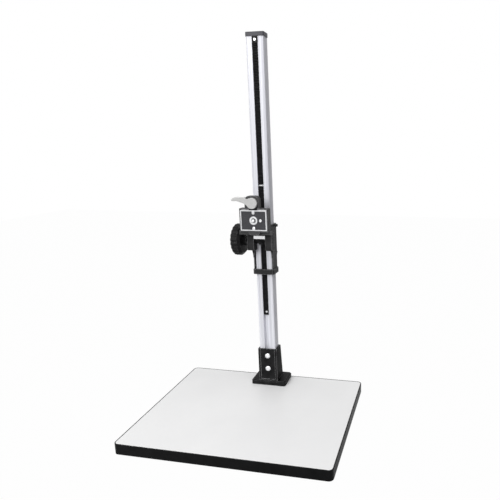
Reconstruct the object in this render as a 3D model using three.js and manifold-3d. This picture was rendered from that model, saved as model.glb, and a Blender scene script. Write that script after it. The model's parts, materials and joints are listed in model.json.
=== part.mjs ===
import * as THREE from 'three';
import { mergeVertices } from 'three/addons/utils/BufferGeometryUtils.js';
import Module from 'manifold-3d';

// A copy stand: a laminated board, a column with a rack, and a carriage that the rack drives up and
// down, with a quick-release camera clamp on its front. Millimetres, +Z up. The origin lies on the
// floor, under the middle of the board. The front of the stand looks along -Y.

const wasm = await Module();
wasm.setup();

// Clearances and steps
const seatGap = 0.3;
const cutOverrun = 6;
const cornerSteps = 3;
const curveSteps = 9;
const wideSides = 48;
const roundSides = 32;
const smallSides = 20;
const tinySides = 12;
const hexSides = 6;
const wireSides = 5;
const turnSteps = 8;
const fluteSteps = 4;
const knobFluteSteps = 6;

// Board
const boardWidth = 420;
const boardDepth = 320;
const boardThickness = 21;
const boardCornerRadius = 9;
const bandThickness = 2;
const sheetThickness = 1;
const footHeight = 4;
const footRadius = 12;
const footInset = 34;

// Column
const columnWidth = 37;
const columnDepth = 22.5;
const columnWall = 2;
const columnCornerRadius = 1.6;
const columnTopHeight = 754;
const columnBackInset = 25;
const capHeight = 8.5;
const capOverhang = 1.3;
const capDraft = 0.7;
const capPlugDepth = 10;

// Rack in the column's front channel
const rackPitch = 3;
const rackWidth = 12;
const rackThickness = 5.3;
const rackSetback = 0.3;
const rackBottomHeight = 168.5;
const lowerRackTeeth = 96;
const rackJointTeeth = 1;
const toothAddendum = 0.95;
const toothDedendum = 1.2;
const toothBacklash = 0.24;
const flankSlopeShare = 0.36;
const rackScrewRadius = 1.5;
const rackScrewHeadRadius = 2.9;
const rackScrewHeadHeight = 1.5;
const rackEndScrewInset = 7;
const endStopHeight = 12.5;
const endStopProud = 1;

// Socket that holds the column on the board
const flangeWidth = 81;
const flangeDepth = 53;
const flangeThickness = 11;
const flangeChamfer = 2.5;
const flangeCornerRadius = 5;
const flangeBackInset = 1;
const socketHeight = 88;
const socketSideWall = 3;
const socketFrontWall = 3.5;
const socketRearWall = 3.5;
const socketFootFlare = 10;
const socketFloor = 3;
const panelFrame = 5;
const panelRecess = 1.3;
const panelSill = 3;
const socketScrewRadius = 3;
const socketScrewHeadRadius = 6.1;
const socketScrewHeadHeight = 3.4;
const socketScrewReach = 2;
const upperSocketScrewHeight = 71;
const lowerSocketScrewHeight = 40;
const hexRadius = 2.3;
const hexDepth = 1.8;
const boltRadius = 3;
const boltHeadRadius = 5;
const boltHeadHeight = 4;
const boltHeadSink = 1;
const boltInset = 9;
const boltReach = 7;

// Pinion, its shaft and the drive knob
const pinionTeeth = 20;
const pinionWidth = 10;
const pinionHubRadius = 7.6;
const restTeeth = 58;
const shaftRadius = 4;
const bushWall = 1.4;
const bushFlangeReach = 2.4;
const bushFit = 0.2;
const bushFlange = 2.2;
const knobRadius = 34.2;
const knobWidth = 20.6;
const knobChamfer = 3;
const knobInnerChamfer = 6;
const knobFlutes = 20;
const knobFluteDepth = 1.5;
const knobHubRadius = 13;
const knobHubLength = 7.2;
const knobCoverRadius = 20;
const knobCoverThickness = 2;
const knobWeb = 4;
const grubRadius = 1.8;
const grubLength = 7;

// Carriage casting
const linerThickness = 1;
const linerEndInset = 2;
const wallThickness = 2.2;
const wallTop = 32.3;
const wallCornerRadius = 3;
const wallReach = 3;
const webReach = 5.4;
const webBottom = 13.5;
const blockReach = 20.8;
const blockBottom = 22.8;
const blockTop = 16;
const blockCornerRadius = 7;
const leftBlockOuter = 28.7;
const leftBlockInner = 13.6;
const rightBlockOuter = 26;
const rightBlockInner = 11.9;
const armHalfWidth = 18.5;
const armBottom = 14;
const armTop = 64;
const armTopDepth = 8;
const platformReach = 32.6;
const platformThickness = 5;
const platformHalfWidth = 24;
const platformBottom = 20.6;
const platformTop = 70.5;
const legSpread = 3;
const legInset = 3;
const legDrop = 18;
const collarDrop = 78;
const collarHeight = 11;
const collarWall = 4.3;
const collarChamfer = 3;
const setScrewRadius = 1.8;
const setScrewDepth = 4.5;
const setScrewSink = 1.5;
const setScrewFront = 15.3;
const upperSetScrewHeight = 4;
const lowerSetScrewDrop = 4.8;
const guardThickness = 1.3;
const guardInset = 0.5;
const guardBottom = 4;
const guardTop = 11;

// Rear plate and friction screw
const rearPlateThickness = 2;
const rearPlateBottom = 40;
const rearScrewRadius = 1;
const rearScrewHeadRadius = 2;
const rearScrewHeadHeight = 1.4;
const rearScrewReach = 8;
const rearScrewInset = 7;
const frictionScrewRadius = 2;
const frictionHeadRadius = 3.2;
const frictionHeadLength = 5.5;
const frictionHeadFlutes = 12;
const frictionFluteDepth = 0.4;
const frictionScrewBack = 17.5;
const frictionScrewHeight = 28.3;

// Quick-release clamp, in sizes from the middle of its plate
const clampHeight = 48.2;
const clampDepth = 17;
const clampLeft = 30.6;
const clampRight = 30.6;
const clampBottom = 24;
const clampTop = 24.5;
const ledgeDepth = 10.1;
const ledgeLeft = 35.5;
const ledgeRight = 33.9;
const ledgeHeight = 7.2;
const ledgeChamfer = 1;
const lugHalfWidth = 12;
const lugHeight = 6.5;
const lugDepth = 5;
const plateHalfWidth = 28;
const plateHalfHeight = 21.1;
const plateThickness = 7;
const plateProud = 1.5;
const plateRim = 1.9;
const plateFlangeThickness = 2.4;
const plateFlangeReach = 1.1;
const padThickness = 0.9;
const notchRadius = 2.8;
const notchInset = 3.6;
const ringRadius = 8.5;
const ringHoleRadius = 5.2;
const cameraScrewRadius = 3.1;
const cameraScrewReach = 5;
const cameraScrewHeadRadius = 9;
const cameraScrewHeadThickness = 2;
const screwWasherThickness = 1.2;
const pinOffset = 15.8;
const pinRadius = 2.9;
const pinReach = 2.6;
const pinSunk = 1.5;
const pinTravel = 2.2;
const pinBoreEnd = 1.2;
const clampBoltRadius = 2.5;
const clampBoltHeadRadius = 4.4;
const clampBoltHeadHeight = 3;
const clampBoltReach = 7.5;
const clampBoltSpacing = 26;

// Lock lever, its cam and the moving jaw
const camOffset = 1.2;
const camHeight = 35.6;
const camRadius = 9.2;
const camThickness = 2.6;
const camShaftRadius = 4;
const housingLeft = 18.5;
const housingRight = 12;
const housingTop = 50.2;
const housingCornerRadius = 9;
const housingFront = 16.4;
const housingBack = 3.5;
const leverThickness = 6;
const leverBossRadius = 11.3;
const leverTip = 45;
const leverTopEdge = 48.3;
const leverTipHeight = 43;
const leverNose = 2.9;
const leverTipRun = 11.5;
const leverHeel = 33;
const leverShoulder = 15.3;
const leverNotch = 12.3;
const leverNotchHeight = 43.8;
const leverSocketDepth = 4;
const leverSwingDegrees = 80;
const jawTravel = 1.4;
const jawHalfWidth = 9;
const jawNoseThickness = 2.4;
const jawNoseHeight = 3;
const springCapRadius = 8;
const springCapThickness = 1.2;
const springWireRadius = 0.5;
const springRadius = 6;
const springTurns = 2;
const pinSpringWireRadius = 0.2;
const pinSpringRadius = 1.9;
const pinSpringTurns = 2;

// Shares of the sizes that they are used with
const screwCrownShares = { shoulder: 1 / 3, radius: 0.8, height: 0.8, land: 1.2 };
const rackScrewCrownShares = { shoulder: 0.6, radius: 0.7 };
const gearFlankShares = { root: 1.55, pitch: 1, tip: 0.45 };
const leverArcShares = { from: -0.845, to: 0.6 };

// Places that follow from the sizes above
const boardTop = footHeight + boardThickness;
const halfColumn = columnWidth / 2;
const columnBack = boardDepth / 2 - columnBackInset;
const columnFront = columnBack - columnDepth;
const columnTop = boardTop + columnTopHeight;
const channelHalfWidth = rackWidth / 2 + seatGap;
const channelDepth = rackThickness + rackSetback;
const rackBottom = boardTop + rackBottomHeight;
const rackJointBottom = rackBottom + lowerRackTeeth * rackPitch;
const rackJointTop = rackJointBottom + rackJointTeeth * rackPitch;
const upperRackTeeth = Math.floor((columnTop - endStopHeight - rackJointTop) / rackPitch);
const rackTop = rackJointTop + upperRackTeeth * rackPitch;
const rackRootDepth = rackSetback + toothAddendum + toothDedendum;
const rackScrewSeat = rackRootDepth + rackScrewHeadHeight + seatGap;
const pinionRadius = pinionTeeth * rackPitch / (2 * Math.PI);
const pinionAxisBack = rackSetback + toothAddendum - pinionRadius;
const pinionAxisHeight = rackBottom + restTeeth * rackPitch;
const bushRadius = shaftRadius + seatGap + bushWall;
const frameBack = seatGap + linerThickness;
const wallInner = halfColumn + seatGap + linerThickness;
const wallOuter = wallInner + wallThickness;
const wallBack = columnDepth + seatGap + linerThickness;
const collarTop = collarHeight - collarDrop;
const plateFront = clampDepth + plateProud;
const plateBack = plateFront - plateThickness;
const flangeFront = plateBack + plateFlangeThickness;
const plateFlangeHalfHeight = plateHalfHeight + plateFlangeReach;
const jawTop = camHeight - camRadius - seatGap;

// Materials
const materials = {
  whiteLaminate: finish('white_laminate', 0xe8e8ea, 0.45, 0),
  blackBand: finish('black_band', 0x1c1c1d, 0.5, 0),
  woodCore: finish('wood_core', 0xb08d62, 0.9, 0),
  blackBacking: finish('black_backing', 0x2a2a2a, 0.7, 0),
  rubber: finish('rubber', 0x181818, 0.9, 0),
  aluminium: finish('anodised_aluminium', 0xd6d7de, 0.38, 1),
  blackCasting: finish('black_casting', 0x2b2c2e, 0.55, 0.2),
  greyPlastic: finish('grey_plastic', 0x56565e, 0.6, 0),
  blackPlastic: finish('black_plastic', 0x1e1f20, 0.5, 0),
  blackSteel: finish('black_steel', 0x26262a, 0.45, 0.6),
  brightSteel: finish('bright_steel', 0xd9dade, 0.22, 1),
  plateMetal: finish('plate_metal', 0xc9cacd, 0.35, 1),
  linerPlastic: finish('liner_plastic', 0x3b3b3d, 0.45, 0),
  leverGrey: finish('lever_grey', 0xbfbfbf, 0.5, 0.1),
};

function finish(name, color, roughness, metalness) {
  const material = new THREE.MeshStandardMaterial({ color, roughness, metalness });
  material.name = name;
  return material;
}

// A flat outline's first and second coordinate and the way along it, as a place: along z the outline
// is in x and y, along y in x and z, along x in y and z.
function placeAlong(axis, first, second, along) {
  if (axis === 'z') return [first, second, along];
  if (axis === 'y') return [first, along, second];
  return [along, first, second];
}

function mapped(geometry, change) {
  const spots = geometry.attributes.position;
  for (let i = 0; i < spots.count; i += 1) {
    spots.setXYZ(i, ...change(spots.getX(i), spots.getY(i), spots.getZ(i)));
  }
  return geometry;
}

// A closed geometry as a solid, with its faces turned outwards
function toSolid(geometry) {
  geometry.deleteAttribute('normal');
  geometry.deleteAttribute('uv');
  const merged = mergeVertices(geometry);
  const spots = merged.attributes.position;
  const corners = merged.index.array;
  const kept = [];
  const a = new THREE.Vector3();
  const b = new THREE.Vector3();
  const c = new THREE.Vector3();
  let volume = 0;
  for (let i = 0; i < corners.length; i += 3) {
    const [p, q, r] = [corners[i], corners[i + 1], corners[i + 2]];
    if (p === q || q === r || r === p) continue;
    kept.push(p, q, r);
    a.fromBufferAttribute(spots, p);
    b.fromBufferAttribute(spots, q);
    c.fromBufferAttribute(spots, r);
    volume += a.dot(b.cross(c));
  }
  if (volume < 0) kept.reverse();
  const vertProperties = new Float32Array(spots.array);
  const triVerts = new Uint32Array(kept);
  return new wasm.Manifold(new wasm.Mesh({ numProp: 3, vertProperties, triVerts }));
}

// An outline drawn out from one place to another along an axis, with both rims chamfered if asked
function prism(shape, axis, from, to, chamfer = 0, curveSegments = cornerSteps) {
  const bevel = chamfer > 0;
  const geometry = new THREE.ExtrudeGeometry(shape, {
    depth: 1, curveSegments, bevelEnabled: bevel, bevelSegments: 1,
    bevelThickness: 1, bevelSize: chamfer, bevelOffset: -chamfer,
  });
  const along = (w) => {
    if (w < -0.5) return from;
    if (w > 1.5) return to;
    if (w < 0.5) return from + chamfer;
    return to - chamfer;
  };
  return toSolid(mapped(geometry, (x, y, z) => placeAlong(axis, x, y, along(z))));
}

function box(left, right, front, back, bottom, top) {
  const geometry = new THREE.BoxGeometry(1, 1, 1);
  const pick = (corner, low, high) => (corner < 0 ? low : high);
  const change = (x, y, z) => [pick(x, left, right), pick(y, front, back), pick(z, bottom, top)];
  return toSolid(mapped(geometry, change));
}

function discOutline(first, second, radius, sides) {
  const points = [];
  for (let i = 0; i < sides; i += 1) {
    const angle = (i + 0.5) * 2 * Math.PI / sides;
    const [across, up] = [radius * Math.cos(angle), radius * Math.sin(angle)];
    points.push(new THREE.Vector2(first + across, second + up));
  }
  return new THREE.Shape(points);
}

function rod(axis, first, second, radius, from, to, sides = smallSides, chamfer = 0) {
  return prism(discOutline(first, second, radius, sides), axis, from, to, chamfer);
}

function polygon(points) {
  return new THREE.Shape(points.map(([x, y]) => new THREE.Vector2(x, y)));
}

function roundedRect(left, right, low, high, radius) {
  const shape = new THREE.Shape();
  shape.moveTo(left + radius, low);
  shape.lineTo(right - radius, low);
  shape.absarc(right - radius, low + radius, radius, -Math.PI / 2, 0);
  shape.lineTo(right, high - radius);
  shape.absarc(right - radius, high - radius, radius, 0, Math.PI / 2);
  shape.lineTo(left + radius, high);
  shape.absarc(left + radius, high - radius, radius, Math.PI / 2, Math.PI);
  shape.lineTo(left, low + radius);
  shape.absarc(left + radius, low + radius, radius, Math.PI, 1.5 * Math.PI);
  return shape;
}

function chamferedRect(left, right, low, high, chamfer) {
  return polygon([
    [left + chamfer, low], [right - chamfer, low], [right, low + chamfer], [right, high - chamfer],
    [right - chamfer, high], [left + chamfer, high], [left, high - chamfer], [left, low + chamfer],
  ]);
}

// A profile of [radius, along] points, from axis to axis, turned about an axis
function turned(axis, first, second, profile, sides = smallSides) {
  const points = profile.map(([radius, along]) => new THREE.Vector2(radius, along));
  const geometry = new THREE.LatheGeometry(points, sides);
  return toSolid(mapped(geometry, (x, y, z) => placeAlong(axis, first + x, second + z, y)));
}

function joined(...solids) {
  return solids.reduce((sum, next) => sum.add(next));
}

function cut(solid, ...tools) {
  return tools.reduce((rest, tool) => rest.subtract(tool), solid);
}

function toMesh(name, material, solid) {
  const { vertProperties, triVerts } = solid.getMesh();
  const geometry = new THREE.BufferGeometry();
  geometry.setAttribute('position', new THREE.BufferAttribute(new Float32Array(vertProperties), 3));
  geometry.setIndex(new THREE.BufferAttribute(new Uint32Array(triVerts), 1));
  geometry.computeVertexNormals();
  const mesh = new THREE.Mesh(geometry, material);
  mesh.name = name;
  return mesh;
}

// A round wire wound about an axis along y
class Helix extends THREE.Curve {
  constructor(radius, from, to, turns) {
    super();
    Object.assign(this, { radius, from, to, turns });
  }

  getPoint(share, target = new THREE.Vector3()) {
    const angle = share * this.turns * 2 * Math.PI;
    const along = this.from + (this.to - this.from) * share;
    return target.set(this.radius * Math.cos(angle), along, this.radius * Math.sin(angle));
  }
}

function springSolid(name, radius, wireRadius, from, to, turns) {
  const curve = new Helix(radius, from + wireRadius, to - wireRadius, turns);
  const gap = (to - from - 2 * wireRadius) / turns - 2 * wireRadius;
  console.log(`${name}: least gap between turns ${gap.toFixed(2)} mm`);
  const geometry = new THREE.ExtrudeGeometry(discOutline(0, 0, wireRadius, wireSides), {
    extrudePath: curve, steps: turnSteps * turns, bevelEnabled: false,
  });
  return toSolid(geometry);
}

// Board

function boardOutline(inset) {
  const right = boardWidth / 2 - inset;
  const back = boardDepth / 2 - inset;
  return roundedRect(-right, right, -back, back, boardCornerRadius - inset);
}

const flangeBack = boardDepth / 2 - flangeBackInset;
const flangeFrontEdge = flangeBack - flangeDepth;
const boltPlaces = [];
for (const x of [boltInset - flangeWidth / 2, flangeWidth / 2 - boltInset]) {
  for (const y of [flangeFrontEdge + boltInset, flangeBack - boltInset]) boltPlaces.push([x, y]);
}

function boltHoles(radius) {
  const low = -cutOverrun;
  const high = boardTop + cutOverrun;
  return boltPlaces.map(([x, y]) => rod('z', x, y, radius + seatGap, low, high));
}

function boltHeadHoles(top) {
  return boltPlaces.map(([x, y]) => rod('z', x, y, boltHeadRadius + seatGap, -cutOverrun, top));
}

function boardPieces() {
  const coreBottom = footHeight + sheetThickness;
  const coreTop = boardTop - sheetThickness;
  const headSeat = footHeight + boltHeadSink + boltHeadHeight;
  const ring = boardOutline(0);
  ring.holes.push(boardOutline(bandThickness));
  const inside = boardOutline(bandThickness);
  const coreBlank = prism(inside, 'z', coreBottom, coreTop);
  const core = cut(coreBlank, ...boltHoles(boltRadius), ...boltHeadHoles(headSeat));
  const topSheet = cut(prism(inside, 'z', coreTop, boardTop), ...boltHoles(boltRadius));
  const backing = cut(prism(inside, 'z', footHeight, coreBottom), ...boltHeadHoles(headSeat));
  const pieces = [
    toMesh('baseboard_core', materials.woodCore, core),
    toMesh('baseboard_top_sheet', materials.whiteLaminate, topSheet),
    toMesh('baseboard_backing_sheet', materials.blackBacking, backing),
    toMesh('baseboard_edge_band', materials.blackBand, prism(ring, 'z', footHeight, boardTop)),
  ];
  const across = boardWidth / 2 - footInset;
  const along = boardDepth / 2 - footInset;
  for (const [side, x] of [['left', -across], ['right', across]]) {
    for (const [end, y] of [['front', -along], ['back', along]]) {
      const foot = rod('z', x, y, footRadius, 0, footHeight, roundSides, footHeight / 4);
      pieces.push(toMesh(`foot_${end}_${side}`, materials.rubber, foot));
    }
  }
  return pieces;
}

// Socket

const socketHalfWidth = halfColumn + seatGap + socketSideWall;
const socketFront = columnFront - seatGap - socketFrontWall;
const socketBack = columnBack + seatGap + socketRearWall;
const socketTop = boardTop + socketHeight;
const flangeTop = boardTop + flangeThickness;
const socketScrewHeights = [boardTop + lowerSocketScrewHeight, boardTop + upperSocketScrewHeight];

function socketPieces() {
  const flangeOutline = roundedRect(
    -flangeWidth / 2, flangeWidth / 2, flangeFrontEdge, flangeBack, flangeCornerRadius,
  );
  const flange = joined(
    prism(flangeOutline, 'z', boardTop, flangeTop, flangeChamfer),
    prism(flangeOutline, 'z', boardTop, boardTop + flangeThickness / 2),
  );
  const footLevel = boardTop + flangeThickness / 2;
  const side = polygon([
    [socketFront, footLevel], [socketBack + socketFootFlare, footLevel],
    [socketBack + socketFootFlare, flangeTop], [socketBack, socketTop], [socketFront, socketTop],
  ]);
  const tower = prism(side, 'x', -socketHalfWidth, socketHalfWidth);
  const well = box(
    -halfColumn - seatGap, halfColumn + seatGap, columnFront - seatGap, columnBack + seatGap,
    boardTop + socketFloor, socketTop + cutOverrun,
  );
  const panelHalf = socketHalfWidth - panelFrame;
  const panel = box(
    -panelHalf, panelHalf, socketFront - cutOverrun, socketFront + panelRecess,
    flangeTop + panelSill, socketTop + cutOverrun,
  );
  const screwHoles = socketScrewHeights.map((height) => (
    rod('y', 0, height, socketScrewRadius + seatGap, socketFront - cutOverrun, columnFront)
  ));
  const threads = boltPlaces.map(([x, y]) => (
    rod('z', x, y, boltRadius + seatGap, boardTop - cutOverrun, boardTop + boltReach + seatGap)
  ));
  const socket = cut(joined(flange, tower), well, panel, ...screwHoles, ...threads);
  const pieces = [toMesh('column_socket', materials.blackCasting, socket)];
  const headBack = socketFront + panelRecess;
  const channelBack = columnFront + channelDepth + columnWall;
  for (const [place, height] of [['lower', socketScrewHeights[0]], ['upper', socketScrewHeights[1]]]) {
    const head = headBack - socketScrewHeadHeight;
    const crown = screwCrownShares;
    const screw = turned('y', 0, height, [
      [0, channelBack + socketScrewReach], [socketScrewRadius, channelBack + socketScrewReach],
      [socketScrewRadius, headBack], [socketScrewHeadRadius, headBack],
      [socketScrewHeadRadius, headBack - socketScrewHeadHeight * crown.shoulder],
      [socketScrewHeadRadius * crown.radius, headBack - socketScrewHeadHeight * crown.height],
      [hexRadius * crown.land, head], [0, head],
    ], roundSides);
    const recess = rod('y', 0, height, hexRadius, head - cutOverrun, head + hexDepth, hexSides);
    pieces.push(toMesh(`socket_screw_${place}`, materials.brightSteel, cut(screw, recess)));
  }
  boltPlaces.forEach(([x, y], index) => {
    const headBottom = footHeight + boltHeadSink;
    const seat = headBottom + boltHeadHeight;
    const bolt = turned('z', x, y, [
      [0, headBottom], [boltHeadRadius, headBottom], [boltHeadRadius, seat], [boltRadius, seat],
      [boltRadius, boardTop + boltReach], [0, boardTop + boltReach],
    ]);
    const recess = rod('z', x, y, hexRadius, headBottom - cutOverrun, headBottom + hexDepth, hexSides);
    pieces.push(toMesh(`socket_bolt_${index + 1}`, materials.blackSteel, cut(bolt, recess)));
  });
  return pieces;
}

// Column, rack and cap

const rackScrewHeights = {
  bottom: rackBottom + rackEndScrewInset,
  stop: (rackTop + columnTop) / 2,
};

function columnOutline() {
  const radius = columnCornerRadius;
  const notchBack = columnFront + channelDepth;
  const shape = new THREE.Shape();
  shape.moveTo(radius - halfColumn, columnFront);
  shape.lineTo(-channelHalfWidth, columnFront);
  shape.lineTo(-channelHalfWidth, notchBack);
  shape.lineTo(channelHalfWidth, notchBack);
  shape.lineTo(channelHalfWidth, columnFront);
  shape.lineTo(halfColumn - radius, columnFront);
  shape.absarc(halfColumn - radius, columnFront + radius, radius, -Math.PI / 2, 0);
  shape.lineTo(halfColumn, columnBack - radius);
  shape.absarc(halfColumn - radius, columnBack - radius, radius, 0, Math.PI / 2);
  shape.lineTo(radius - halfColumn, columnBack);
  shape.absarc(radius - halfColumn, columnBack - radius, radius, Math.PI / 2, Math.PI);
  shape.lineTo(-halfColumn, columnFront + radius);
  shape.absarc(radius - halfColumn, columnFront + radius, radius, Math.PI, 1.5 * Math.PI);
  const side = halfColumn - columnWall;
  const lip = channelHalfWidth + columnWall;
  const front = columnFront + columnWall;
  const back = columnBack - columnWall;
  shape.holes.push(polygon([
    [-side, front], [-lip, front], [-lip, notchBack + columnWall], [lip, notchBack + columnWall],
    [lip, front], [side, front], [side, back], [-side, back],
  ]));
  return shape;
}

// A rack segment: teeth on the front, from one height up over a whole number of pitches
function rackSolid(bottom, teeth) {
  const seat = columnFront + channelDepth;
  const pitchLine = columnFront + rackSetback + toothAddendum;
  const tip = pitchLine - toothAddendum;
  const root = pitchLine + toothDedendum;
  const half = (rackPitch / 2 - toothBacklash / 2) / 2;
  const tipHalf = half - toothAddendum * flankSlopeShare;
  const rootHalf = half + toothDedendum * flankSlopeShare;
  const points = [[seat, bottom], [root, bottom]];
  for (let i = 0; i < teeth; i += 1) {
    const middle = bottom + (i + 0.5) * rackPitch;
    points.push([root, middle - rootHalf], [tip, middle - tipHalf]);
    points.push([tip, middle + tipHalf], [root, middle + rootHalf]);
  }
  const top = bottom + teeth * rackPitch;
  points.push([root, top], [seat, top]);
  return prism(polygon(points), 'x', -rackWidth / 2, rackWidth / 2);
}

function rackScrew(height, seat) {
  const headRadius = rackScrewHeadRadius;
  const end = columnFront + channelDepth + columnWall;
  const crown = rackScrewCrownShares;
  return turned('y', 0, height, [
    [0, end], [rackScrewRadius, end], [rackScrewRadius, seat], [headRadius, seat],
    [headRadius, seat - rackScrewHeadHeight * crown.shoulder],
    [headRadius * crown.radius, seat - rackScrewHeadHeight], [0, seat - rackScrewHeadHeight],
  ]);
}

function columnPieces() {
  const bottom = boardTop + socketFloor;
  const front = columnFront - cutOverrun;
  const throughChannel = [front, columnFront + channelDepth + columnWall + cutOverrun];
  const socketHoles = socketScrewHeights.map((height) => (
    rod('y', 0, height, socketScrewRadius + seatGap, ...throughChannel)
  ));
  const rackHoles = Object.values(rackScrewHeights).map((height) => (
    rod('y', 0, height, rackScrewRadius + seatGap, ...throughChannel)
  ));
  const extrusion = cut(prism(columnOutline(), 'z', bottom, columnTop), ...socketHoles, ...rackHoles);
  const screwSeat = columnFront + rackScrewSeat;
  const headRadius = rackScrewHeadRadius + seatGap;
  const headPocket = rod('y', 0, rackScrewHeights.bottom, headRadius, front, screwSeat);
  const lower = cut(rackSolid(rackBottom, lowerRackTeeth), rackHoles[0], headPocket);
  const stopFront = columnFront - endStopProud;
  const stopShape = chamferedRect(
    -rackWidth / 2, rackWidth / 2, stopFront, columnFront + channelDepth, endStopProud / 2,
  );
  const stopScrewSeat = stopFront + rackScrewHeadHeight;
  const stop = cut(
    prism(stopShape, 'z', rackTop + seatGap, columnTop - seatGap), rackHoles[1],
    rod('y', 0, rackScrewHeights.stop, headRadius, stopFront - cutOverrun, stopScrewSeat),
  );
  return [
    toMesh('column', materials.aluminium, extrusion),
    toMesh('rack_lower', materials.blackSteel, lower),
    toMesh('rack_joint', materials.brightSteel, rackSolid(rackJointBottom, rackJointTeeth)),
    toMesh('rack_upper', materials.blackSteel, rackSolid(rackJointTop, upperRackTeeth)),
    toMesh('rack_end_stop', materials.blackPlastic, stop),
    toMesh('rack_screw', materials.brightSteel, rackScrew(rackScrewHeights.bottom, screwSeat)),
    toMesh('rack_stop_screw', materials.brightSteel, rackScrew(rackScrewHeights.stop, stopScrewSeat)),
    toMesh('column_cap', materials.greyPlastic, capSolid()),
  ];
}

function capSolid() {
  const outline = roundedRect(
    -halfColumn - capOverhang, halfColumn + capOverhang,
    columnFront - capOverhang, columnBack + capOverhang, columnCornerRadius + capOverhang,
  );
  const lid = prism(outline, 'z', columnTop - capHeight, columnTop + capHeight, capDraft);
  const top = cut(lid, box(
    -columnWidth, columnWidth, columnFront - columnDepth, columnBack + columnDepth,
    columnTop - 2 * capHeight, columnTop,
  ));
  const side = halfColumn - columnWall - seatGap;
  const plug = box(
    -side, side, columnFront + channelDepth + columnWall + seatGap, columnBack - columnWall - seatGap,
    columnTop - capPlugDepth, columnTop + capHeight / 2,
  );
  return joined(top, plug);
}

// Carriage, in places from the middle of the column's front face at the height of the pinion

function walls(sign) {
  const [inner, outer] = sign > 0 ? [wallInner, wallOuter] : [-wallOuter, -wallInner];
  const low = collarTop - collarHeight / 2;
  const outline = roundedRect(-wallReach, wallBack, low, wallTop, wallCornerRadius / 2);
  return prism(outline, 'x', inner, outer);
}

// A block round the shaft, with its front corners rounded
function shaftBlock(left, right) {
  const back = blockCornerRadius - frameBack;
  const outline = roundedRect(-blockReach, back, -blockBottom, blockTop, blockCornerRadius);
  const behind = box(
    left - cutOverrun, right + cutOverrun, -frameBack, columnDepth, -collarDrop, wallTop,
  );
  return cut(prism(outline, 'x', left, right), behind);
}

// A gusset under the block, which runs out in a curve along the wall's front edge
function gusset(sign, blockOuter) {
  const spread = Math.min(wallOuter + legSpread, blockOuter);
  const [inner, outer, inset] = [wallInner, wallOuter, wallInner - legInset].map((x) => sign * x);
  const middle = -blockBottom - legDrop / 2;
  const low = -blockBottom - legDrop;
  const shape = new THREE.Shape();
  shape.moveTo(inner, -blockBottom / 2);
  shape.lineTo(sign * spread, -blockBottom / 2);
  shape.lineTo(sign * spread, -blockBottom);
  shape.quadraticCurveTo(outer, middle, outer, low);
  shape.lineTo(inner, low);
  shape.quadraticCurveTo(inner, -blockBottom - legInset, inset, -blockBottom);
  shape.lineTo(inset, -blockBottom / 2);
  return prism(shape, 'y', -webReach, -frameBack, 0, curveSteps);
}

function armSolid() {
  const side = polygon([
    [-frameBack, armBottom], [-blockReach, armBottom], [-platformReach, platformBottom],
    [-platformReach, armTop], [platformThickness + armTopDepth - platformReach, armTop],
    [-webReach, wallTop], [-frameBack, wallTop],
  ]);
  return prism(side, 'x', -armHalfWidth, armHalfWidth);
}

function collarSolid() {
  const outer = wallInner + collarWall;
  const outline = chamferedRect(
    -outer, outer, -frameBack - collarWall, wallBack + collarWall, collarChamfer,
  );
  outline.holes.push(polygon([
    [-wallInner, -frameBack], [wallInner, -frameBack], [wallInner, wallBack], [-wallInner, wallBack],
  ]));
  return prism(outline, 'z', -collarDrop, collarTop);
}

function frameSolid() {
  const crossPlate = box(-wallOuter, wallOuter, -webReach, -frameBack, webBottom, wallTop);
  const platformShape = roundedRect(
    -platformHalfWidth, platformHalfWidth, platformBottom, platformTop, wallCornerRadius,
  );
  const platform = prism(platformShape, 'y', -platformReach, platformThickness - platformReach);
  const body = joined(
    shaftBlock(-leftBlockOuter, -leftBlockInner), shaftBlock(rightBlockInner, rightBlockOuter),
    crossPlate, armSolid(), platform, walls(-1), walls(1), gusset(-1, leftBlockOuter),
    gusset(1, rightBlockOuter), collarSolid(),
  );
  const boreRadius = bushRadius + bushFit;
  const bores = [
    [-leftBlockOuter - cutOverrun, cutOverrun - leftBlockInner],
    [rightBlockInner - cutOverrun, rightBlockOuter - wallThickness],
  ].map(([from, to]) => rod('x', pinionAxisBack, 0, boreRadius, from, to, roundSides));
  const setScrewHoles = [upperSetScrewHeight, -lowerSetScrewDrop].map((height) => rod(
    'x', -setScrewFront, height, setScrewRadius + seatGap, rightBlockOuter - setScrewDepth,
    rightBlockOuter + cutOverrun,
  ));
  const frictionHole = rod(
    'x', frictionScrewBack, frictionScrewHeight, frictionScrewRadius + seatGap, 0,
    wallOuter + cutOverrun,
  );
  const boltHoles = clampBolts().map((height) => rod(
    'y', 0, height, clampBoltRadius + seatGap, -platformReach - cutOverrun, 0,
  ));
  const boltWells = clampBolts().map((height) => rod(
    'y', 0, height, clampBoltHeadRadius + seatGap, platformThickness - platformReach, cutOverrun,
  ));
  return cut(
    body, ...bores, ...setScrewHoles, frictionHole, ...boltHoles, ...boltWells, ...rearScrewHoles(),
  );
}

function clampBolts() {
  return [clampHeight - clampBoltSpacing / 2, clampHeight + clampBoltSpacing / 2];
}

// Places of the rear plate's screws, in x and z
function rearScrewPlaces() {
  const side = (wallInner + wallOuter) / 2;
  const heights = [rearScrewInset - rearPlateBottom, wallTop - rearScrewInset];
  return heights.flatMap((height) => [[-side, height], [side, height]]);
}

function rearScrewHoles() {
  const back = wallBack + rearPlateThickness + cutOverrun;
  return rearScrewPlaces().map(([x, z]) => rod(
    'y', x, z, rearScrewRadius + seatGap / 2, wallBack - rearScrewReach - seatGap, back, tinySides,
  ));
}

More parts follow.
